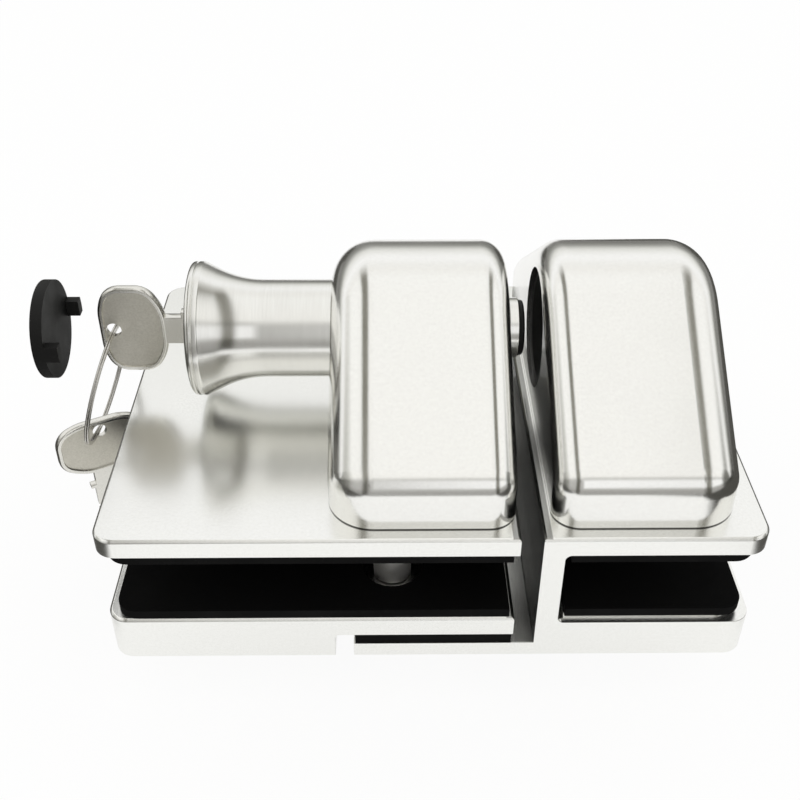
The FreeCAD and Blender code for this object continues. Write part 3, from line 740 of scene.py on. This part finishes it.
@dataclass
class Knob:
    """Flared pull knob, turned in one piece with its shank and its stop flange."""

    looks: Finishes
    shank: float = 9.7
    rim: float = 13.3
    end: float = -63.9
    recess: float = 10.0
    recess_floor: float = -62.9
    barrel_bore: float = 8.03
    barrel_bore_end: float = -42.6
    groove: float = -62.6
    groove_half: float = 0.2
    groove_depth: float = 0.22
    rim_start: float = -61.5
    flare_start: float = -49.5
    flare_radius: float = 20.3
    flare_deg: float = 26.6
    flare_steps: int = 24
    flange: float = 11.8
    flange_start: float = -24.0
    flange_end: float = -21.5
    stem_bore: float = 4.03
    stem_bore_end: float = -30.8
    pocket: tuple[float, float] = (-64.0, -60.15)
    pocket_play: float = 0.15

    def profile(self) -> Profile:
        """Work out the turned outline from the lock's bore round the rim to the stem's bore.

        Returns:
            The profile's points.
        """
        flare = []
        for step in range(self.flare_steps + 1):
            angle = math.radians(self.flare_deg) * (1 - step / self.flare_steps)
            flare.append((self.flare_start - self.flare_radius * math.sin(angle),
                          self.shank + self.flare_radius * (1 - math.cos(angle)), 0.0))
        corners = [
            (self.barrel_bore_end, 0.0, 0.0),
            (self.barrel_bore_end, self.barrel_bore, 0.0),
            (self.recess_floor, self.barrel_bore, 0.12),
            (self.recess_floor, self.recess, 0.2),
            (self.end, self.recess, 0.25),
            (self.end, self.rim, 0.75),
            (self.groove - self.groove_half, self.rim, 0.1),
            (self.groove, self.rim - self.groove_depth, 0.05),
            (self.groove + self.groove_half, self.rim, 0.1),
            (self.rim_start, self.rim, 0.9),
            *flare,
            (self.flange_start, self.shank, 0.2),
            (self.flange_start, self.flange, 0.3),
            (self.flange_end, self.flange, 0.3),
            (self.flange_end, self.stem_bore, 0.2),
            (self.stem_bore_end, self.stem_bore, 0.0),
            (self.stem_bore_end, 0.0, 0.0),
        ]
        return rounded(corners)

    def build(self) -> None:
        """Turn the knob and cut its pockets for the cap."""
        piece = Bench.lathe("knob_turned", self.profile())
        for side in (1, -1):
            Bench.combine(piece, Cap.peg(side, *self.pocket, self.pocket_play), Join.CUT)
        Bench.soften(piece, 0.12, segments=2, angle=50)
        Bench.smooth(piece, angle=30)
        Bench.finish(piece, self.looks.turned, Body.BOLT, "turned_steel", ("knob",))


@dataclass
class Cap:
    """Moulded cap of the keyhole with its two rim pegs."""

    looks: Finishes
    face: float = -91.4
    thickness: float = 2.4
    radius: float = 9.8
    peg_inside: float = 7.6
    peg_half: float = 1.65
    peg_reach: float = 2.6
    peg_root: float = 1.2
    back_round: float = 0.4

    @classmethod
    def peg(cls, side: int, x0: float, x1: float, grow: float) -> Piece:
        """Shape one peg, or the cutter for its pocket.

        Args:
            side: 1 for the +Y side, -1 for the -Y side.
            x0: where it starts along the bolt line.
            x1: where it ends.
            grow: play added all round.

        Returns:
            The peg, trimmed to the cap's round rim.
        """
        low, high = sorted((side * (cls.peg_inside - grow), side * (cls.radius + grow)))
        half = cls.peg_half + grow
        piece = Bench.block("cap_peg", (x0, low, AXIS_Z - half), (x1, high, AXIS_Z + half))
        middle = ((x0 + x1) / 2, 0, AXIS_Z)
        trim = Bench.drum("peg_trim", middle, (1, 0, 0), cls.radius + grow, x1 - x0 + 2, ROUND_SIDES)
        Bench.combine(piece, trim, Join.SHARE)
        return piece

    def build(self) -> None:
        """Turn the disc, join the pegs and soften every edge."""
        back = self.face - self.thickness
        outline = rounded([(back, 0.0, 0.0), (back, self.radius, self.back_round),
                           (self.face, self.radius, 0.0), (self.face, 0.0, 0.0)])
        piece = Bench.lathe("cap_moulded", outline)
        for side in (1, -1):
            peg = self.peg(side, self.face - self.peg_root, self.face + self.peg_reach, 0.0)
            Bench.combine(piece, peg, Join.ADD)
        Bench.soften(piece, 0.16, segments=3, angle=50)
        Bench.smooth(piece, angle=30)
        Bench.finish(piece, self.looks.nylon, Body.BOLT, "black_plastic", ("knob_cap",))


@dataclass
class Keys:
    """The two stamped keys: a bow with a raised rim, and a milled blade with its cuts."""

    looks: Finishes
    hole: Point = (-80.0, 0.0, AXIS_Z)
    spare_hole: Point = (-87.3664, 0.5151, 2.3078)
    spare_yaw: float = 28.0
    thickness: float = 1.8
    hole_radius: float = 1.5
    # Upper half of the bow: (x, z, corner radius)
    bow_corners: tuple[tuple[float, float, float], ...] = (
        (-2.7, 4.5, 10.0), (-1.0, 9.6, 4.4), (7.6, 9.6, 4.4), (10.6, 4.5, 10.0))
    bow_round: float = 0.5
    rim_flat: float = 0.42
    field_slope: float = 0.14
    field_depth: float = 0.36
    neck: tuple[float, float] = (9.9, 3.0)
    shoulder: tuple[float, float] = (13.7, 4.2)
    edge: tuple[float, float] = (14.5, 3.3)
    point_start: float = 29.9
    point: float = 32.1
    cuts: tuple[float, ...] = (1.1, 1.9, 0.8, 1.5)
    first_cut: float = 20.3
    cut_pitch: float = 2.6
    cut_flat: float = 0.4
    cut_flank: float = 0.35
    blade_thinner: float = 0.02
    relief: float = 0.28
    groove_depth: float = 0.5
    groove_start: float = 15.6
    # How far the cutters stand out beyond the blade's point, sides and edges
    past_point: float = 0.9
    past_side: float = 1.0
    past_edge: float = 2.7
    # Long grooves on both sides of the blade: (z, half width)
    grooves: tuple[tuple[float, float], ...] = ((1.1, 0.55), (-0.9, 0.4))

    def bow(self) -> Profile:
        """Outline of the bow, from the middle of its free end."""
        lower = [(x, -z, radius) for x, z, radius in reversed(self.bow_corners)]
        return rounded_loop([*self.bow_corners, *lower], 10)

    def blade(self) -> Profile:
        """Outline of the neck, the shoulder and the cut blade."""
        (neck_x, neck_z), (stop_x, stop_z), (edge_x, edge_z) = self.neck, self.shoulder, self.edge
        points: Profile = [(neck_x, -neck_z), (stop_x, -neck_z), (stop_x, -stop_z), (edge_x, -stop_z),
                           (edge_x, -edge_z)]
        for index, depth in enumerate(self.cuts):
            middle = self.first_cut + self.cut_pitch * index
            side = self.cut_flat + depth * self.cut_flank
            points += [(middle - side, -edge_z), (middle - self.cut_flat, depth - edge_z),
                       (middle + self.cut_flat, depth - edge_z), (middle + side, -edge_z)]
        points += [(self.point_start, -edge_z), (self.point, 0.0), (self.point_start, edge_z),
                   (edge_x, edge_z), (edge_x, stop_z), (stop_x, stop_z), (stop_x, neck_z), (neck_x, neck_z)]
        return points

    def stamp(self) -> Piece:
        """Stamp one key, lying along +X with its hole at the origin."""
        half = self.thickness / 2
        key = Bench.prism("key_blank", [(x, -half, z) for x, z in self.bow()], (0, self.thickness, 0))
        Bench.soften(key, self.bow_round, segments=5, angle=50)
        for side in (1, -1):
            Bench.select_faces(key, lambda centre, normal: normal.y * side > 0.999)
            bpy.ops.mesh.inset(thickness=self.rim_flat * MM)
            bpy.ops.mesh.inset(thickness=self.field_slope * MM, depth=-self.field_depth * MM)
            bpy.ops.object.mode_set(mode="OBJECT")
        Bench.combine(key, self.milled_blade(half), Join.ADD)
        hole = Bench.drum("key_hole", (0, 0, 0), (0, 1, 0), self.hole_radius, length=4, sides=64)
        Bench.combine(key, hole, Join.CUT)
        Bench.pick(key)
        bpy.ops.object.shade_smooth_by_angle(angle=math.radians(30))
        Bench.select_faces(key, lambda centre, normal: abs(normal.y) > 0.999)
        bpy.ops.mesh.faces_shade_flat()
        bpy.ops.object.mode_set(mode="OBJECT")
        return key

    def milled_blade(self, half: float) -> Piece:
        """Mill the blade: thinned behind its shoulder and grooved on both sides.

        Args:
            half: half the bow's thickness in millimetres.

        Returns:
            The blade with its neck and shoulder.
        """
        inner = half - self.blade_thinner
        blade = Bench.prism("key_blade", [(x, -inner, z) for x, z in self.blade()], (0, 2 * inner, 0))
        end, top = self.point + self.past_point, self.edge[1] + self.past_edge
        for side in (1, -1):
            low, high = sorted((side * (half - self.relief), side * (half + self.past_side)))
            relief = Bench.block("blade_relief", (self.edge[0], low, -top), (end, high, top))
            Bench.combine(blade, relief, Join.CUT)
            low, high = sorted((side * (half - self.groove_depth), side * (half + self.past_side)))
            for z, width in self.grooves:
                groove = Bench.block("key_groove", (self.groove_start, low, z - width),
                                     (end, high, z + width))
                Bench.combine(blade, groove, Join.CUT)
        Bench.soften(blade, 0.12, segments=2, angle=50)
        return blade

    def build(self) -> None:
        """Place the working key and the spare."""
        key = self.stamp()
        spare = Bench.copy(key, "spare_key_stamped")
        key.name = "key_in_lock_stamped"
        Bench.shift(key, self.hole)
        Bench.turn(spare, 90, "Y", (0, 0, 0))
        Bench.turn(spare, self.spare_yaw, "Z", (0, 0, 0))
        Bench.shift(spare, self.spare_hole)
        self.paint(key, self.hole, 0.0, Body.PLUG, "key_in_lock")
        self.paint(spare, self.spare_hole, self.spare_yaw, Body.SPARE, "spare_key")

    def paint(self, key: Piece, hole: Point, yaw_deg: float, body: Body, node: str) -> None:
        """Finish a placed key, with the duller finish in its sunk fields.

        Args:
            key: the key.
            hole: the centre of its hole in millimetres.
            yaw_deg: how far it is turned about Z.
            body: what it moves with.
            node: the CAD node that it stands for.
        """
        Bench.finish(key, self.looks.nickel, body, "nickel", (node,))
        key.data.materials.append(self.looks.field)
        across = Vector((0, 1, 0))
        across.rotate(Matrix.Rotation(math.radians(yaw_deg), 3, "Z"))
        sunk = self.thickness / 2 - self.field_depth
        for face in key.data.polygons:
            depth = abs((face.center / MM - Vector(hole)).dot(across))
            if abs(face.normal.dot(across)) > 0.99 and abs(depth - sunk) < 0.02:
                face.material_index = 1


@dataclass
class SplitRing:
    """Two-turn split ring, coiled from one flat wire."""

    looks: Finishes
    hang: Point = (-80.0, 0.0, 27.2871)
    mean: float = 13.0
    half_wide: float = 0.19
    half_high: float = 0.48
    edge_round: float = 0.14
    pitch: float = 0.46
    turns: int = 2
    turn_steps: int = 128
    tilt: float = 16.5
    yaw: float = -4.0
    split_deg: float = -32.0

    def build(self) -> None:
        """Coil the wire, close its ends and hang it in the key's hole."""
        left, right = -self.pitch - self.half_wide, -self.pitch + self.half_wide
        low, high = self.mean - self.half_high, self.mean + self.half_high
        corners = [(x, z, self.edge_round)
                   for x, z in ((left, low), (left, high), (right, high), (right, low))]
        section = rounded_loop(corners, 4)
        points = [(x, 0.0, z) for x, z in section]
        piece = Bench.seed("split_ring_coil", points[0])
        Bench.draw(points[1:] + [points[0]], points[0])
        Bench.tidy()
        coil = piece.modifiers.new("coil", "SCREW")
        coil.axis, coil.angle, coil.screw_offset = "X", 2 * math.pi, self.pitch * MM
        coil.iterations = self.turns
        coil.steps = coil.render_steps = self.turn_steps
        Bench.pick(piece)
        bpy.ops.object.modifier_apply(modifier=coil.name)
        bpy.ops.object.mode_set(mode="EDIT")
        bpy.ops.mesh.select_all(action="SELECT")
        bpy.ops.mesh.fill_holes(sides=0)
        Bench.tidy(0.001)
        Bench.turn(piece, self.split_deg, "X", (0, 0, 0))
        Bench.shift(piece, (self.hang[0], self.hang[1], self.hang[2] - self.mean))
        Bench.turn(piece, self.tilt, "Y", self.hang)
        Bench.turn(piece, self.yaw, "Z", self.hang)
        Bench.smooth(piece, angle=40)
        Bench.finish(piece, self.looks.wire, Body.RING, "nickel", ("split_ring",))


@dataclass
class Studio:
    """White paper and tent, soft lights and the photo's camera."""

    eye: Point = (-25.344, -181.924, 142.625)
    yaw_deg: float = 0.74
    pitch_deg: float = 36.43
    roll_deg: float = 0.22
    lens: float = 48.26
    shift_y: float = 0.0085
    floor_z: float = -31.2
    sheet_front_left: tuple[float, float] = (-420, -230)
    sheet_back_right: tuple[float, float] = (420, 900)
    # Round the bolt line: from behind, under the latch, up through the front and the top to behind again
    round_stops: Stops = (
        (0.0, "8A8986"), (0.25, "8A8986"), (0.41, "A3A29F"), (0.49, "A3A29F"), (0.51, "B9B8B5"),
        (0.60, "BEBDBA"), (0.64, "FEFDFA"), (0.79, "FFFFFD"), (0.825, "F7F6F3"), (0.85, "F8F8F6"),
        (0.872, "FFFFFF"), (0.89, "FFFFFF"), (0.92, "EEEEEB"), (0.94, "DADAD6"), (0.955, "A4A4A0"),
        (0.975, "868682"), (1.0, "70706C"))
    # What stands low in front on the right instead of the grey card: white cloth between two thin seams
    right_stops: Stops = ((0.515, "B4B3AF"), (0.535, "FFFFFF"), (0.595, "FFFFFF"), (0.615, "C4C3BF"))
    right_span: tuple[float, float] = (0.5, 0.62)
    right_blend: tuple[float, float] = (0.47, 0.53)
    # From the left wall of the tent to the right one
    side_stops: Stops = (
        (0.0, "8E8E8A"), (0.05, "C8C8C4"), (0.10, "FFFFFF"), (0.255, "FFFFFF"), (0.275, "7B7970"),
        (0.37, "7B7970"), (0.385, "FFFFFF"), (0.67, "FFFFFF"), (0.69, "7B7970"), (0.775, "7B7970"),
        (0.795, "FFFFFF"), (0.94, "FFFFFF"), (0.97, "787874"), (1.0, "70706C"))
    # Where the side cards fade out on the way to the back
    side_reach: tuple[float, float] = (0.86, 0.80)
    # Grey cards on the paper beside the latch: from full paper to full card along X, in millimetres
    floor_cards: tuple[tuple[float, float], ...] = ((-96, -112), (62, 82))
    paper_glow: float = 0.9
    mirrored_glow: float = 0.5

    def camera(self) -> None:
        """Set the camera where the photo was taken from."""
        yaw, pitch, roll = (math.radians(a) for a in (self.yaw_deg, self.pitch_deg, self.roll_deg))
        ahead = Vector((math.sin(yaw) * math.cos(pitch), math.cos(yaw) * math.cos(pitch), -math.sin(pitch)))
        right = Vector((math.cos(yaw), -math.sin(yaw), 0))
        up = right.cross(ahead)
        side = right * math.cos(roll) + up * math.sin(roll)
        top = up * math.cos(roll) - right * math.sin(roll)
        data = bpy.data.cameras.new("photo_camera")
        data.lens = self.lens
        data.sensor_width = 36.0
        data.shift_y = self.shift_y
        data.clip_start = 0.01
        camera = bpy.data.objects.new("photo_camera", data)
        turn = Matrix((side, top, -ahead)).transposed().to_4x4()
        camera.matrix_world = Matrix.Translation(Vector(self.eye) * MM) @ turn
        bpy.context.scene.collection.objects.link(camera)
        bpy.context.scene.camera = camera

    @staticmethod
    def rays(tree: Tree) -> tuple[Socket, Socket]:
        """Tell the camera's rays, and those that metal and glass send out, from the others.

        Args:
            tree: the node tree.

        Returns:
            A socket that is 1 for camera rays, and one that is 1 for mirrored and transmitted rays.
        """
        path = add(tree, "ShaderNodeLightPath").outputs
        shiny = reckon(tree, "MAXIMUM", path["Is Glossy Ray"], path["Is Transmission Ray"])
        return path["Is Camera Ray"], shiny

    def paper(self) -> Material:
        """White paper with a faint shadow, and grey cards on it that only the metal mirrors."""
        material, tree, shader, place = blank("white_paper")
        shader.inputs["Base Color"].default_value = linear("F4F4F2")
        shader.inputs["Roughness"].default_value = 0.9
        direct, shiny = self.rays(tree)
        part = reckon(tree, "MAXIMUM", reckon(tree, "MULTIPLY", shiny, self.mirrored_glow),
                      reckon(tree, "MULTIPLY", direct, self.paper_glow))
        glow = add(tree, "ShaderNodeEmission", {"Color": (1, 1, 1, 1), "Strength": 1.0})
        both = add(tree, "ShaderNodeMixShader", None,
                   {0: part, 1: shader.outputs[0], 2: glow.outputs[0]})
        along = add(tree, "ShaderNodeSeparateXYZ", None, {0: place}).outputs[0]
        left, right = (fit(tree, along, near * MM, far * MM) for near, far in self.floor_cards)
        card = reckon(tree, "MULTIPLY", reckon(tree, "MAXIMUM", left, right), shiny)
        dark = add(tree, "ShaderNodeEmission", {"Color": linear("4C4B47"), "Strength": 1.0})
        seen = add(tree, "ShaderNodeMixShader", None,
                   {0: card, 1: both.outputs[0], 2: dark.outputs[0]})
        tree.links.new(seen.outputs[0], tree.nodes["Material Output"].inputs["Surface"])
        return material

    def sheet(self) -> None:
        """Lay the sheet of paper under the latch, longer behind than in front."""
        sheet = Bench.block("paper_sheet", (*self.sheet_front_left, self.floor_z - 1),
                            (*self.sheet_back_right, self.floor_z))
        sheet.data.materials.append(self.paper())

    @staticmethod
    def lamp(name: str, place: Point, aim: Point, size: tuple[float, float], power: float, tint: str) -> None:
        """Hang a soft box.

        Args:
            name: the lamp's name.
            place: its centre in millimetres.
            aim: the point it faces.
            size: width and height in millimetres.
            power: watts.
            tint: sRGB hex colour.
        """
        data = bpy.data.lights.new(name, "AREA")
        data.shape = "RECTANGLE"
        data.size, data.size_y = size[0] * MM, size[1] * MM
        data.energy = power
        data.color = linear(tint)[:3]
        lamp = bpy.data.objects.new(name, data)
        lamp.location = Vector(place) * MM
        # Metal mirrors the tent alone: the lamps light the dull surfaces
        lamp.visible_glossy = False
        lamp.rotation_euler = (Vector(aim) - Vector(place)).to_track_quat("-Z", "Y").to_euler()
        bpy.context.scene.collection.objects.link(lamp)

    def world(self) -> None:
        """Surround the latch with a white tent that has grey cards in it, for the metal to mirror.

        The camera sees plain white. Mirrored rays see the tent by two ramps: one round the bolt line from
        front to back, one from side to side. The side cards stand in front only, so the plates mirror a plain
        back wall. Everything else is lit by plain white.
        """
        world = bpy.data.worlds.new("studio_tent")
        bpy.context.scene.world = world
        world.use_nodes = True
        tree = world.node_tree
        place = add(tree, "ShaderNodeTexCoord").outputs["Generated"]
        way = add(tree, "ShaderNodeSeparateXYZ", None, {0: place}).outputs
        angle = reckon(tree, "ARCTAN2", way[2], reckon(tree, "MULTIPLY", way[1], -1.0))
        around = fit(tree, angle, -math.pi, math.pi)
        across = fit(tree, way[0], -1.0, 1.0)
        low, high = self.right_span
        shared = tuple(stop for stop in self.round_stops if not low < stop[0] < high)
        left = self.ramp(tree, around, self.round_stops)
        right = self.ramp(tree, around, tuple(sorted(shared + self.right_stops)))
        cards = self.ramp(tree, across, self.side_stops)
        tent = blend(tree, fit(tree, across, *self.right_blend), left, right)
        mirrored = blend(tree, fit(tree, around, *self.side_reach), tent, cards, "MULTIPLY")
        direct, shiny = self.rays(tree)
        hidden = reckon(tree, "GREATER_THAN", shiny, direct)
        seen = blend(tree, hidden, "FFFFFF", mirrored)
        tree.links.new(seen, tree.nodes["Background"].inputs["Color"])

    @staticmethod
    def ramp(tree: Tree, value: Socket, stops: Stops) -> Socket:
        """Colour ramp from named stops.

        Args:
            tree: the node tree.
            value: what drives it.
            stops: position and sRGB hex colour of each stop, in order.

        Returns:
            The ramp's colour.
        """
        node = add(tree, "ShaderNodeValToRGB", None, {0: value})
        bar = node.color_ramp
        bar.elements[0].position, bar.elements[0].color = stops[0][0], linear(stops[0][1])
        bar.elements[1].position, bar.elements[1].color = stops[-1][0], linear(stops[-1][1])
        for spot, colour in stops[1:-1]:
            bar.elements.new(spot).color = linear(colour)
        return node.outputs[0]

    def build(self) -> None:
        """Set the whole studio."""
        self.camera()
        self.sheet()
        self.world()
        self.lamp("top_box", place=(0, -40, 520), aim=(0, 0, 20), size=(900, 700),
                  power=0.34, tint="FFFFFF")
        self.lamp("front_box", place=(-30, -420, 140), aim=(0, 0, 10), size=(520, 200),
                  power=0.10, tint="FFFAF0")
        self.lamp("left_box", place=(-380, -120, 180), aim=(-20, 0, 20), size=(200, 260),
                  power=0.04, tint="FFFFFF")
        bpy.context.scene.view_settings.view_transform = "Standard"


def main() -> None:
    """Build the latch's looks in order and report each piece."""
    logging.basicConfig(level=logging.INFO, format="%(name)s %(message)s")
    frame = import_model()
    looks = Finishes()
    Studio().build()
    Halves(looks, frame).build()
    Knob(looks).build()
    Cap(looks).build()
    Keys(looks).build()
    SplitRing(looks).build()


if __name__ == "__main__":
    main()
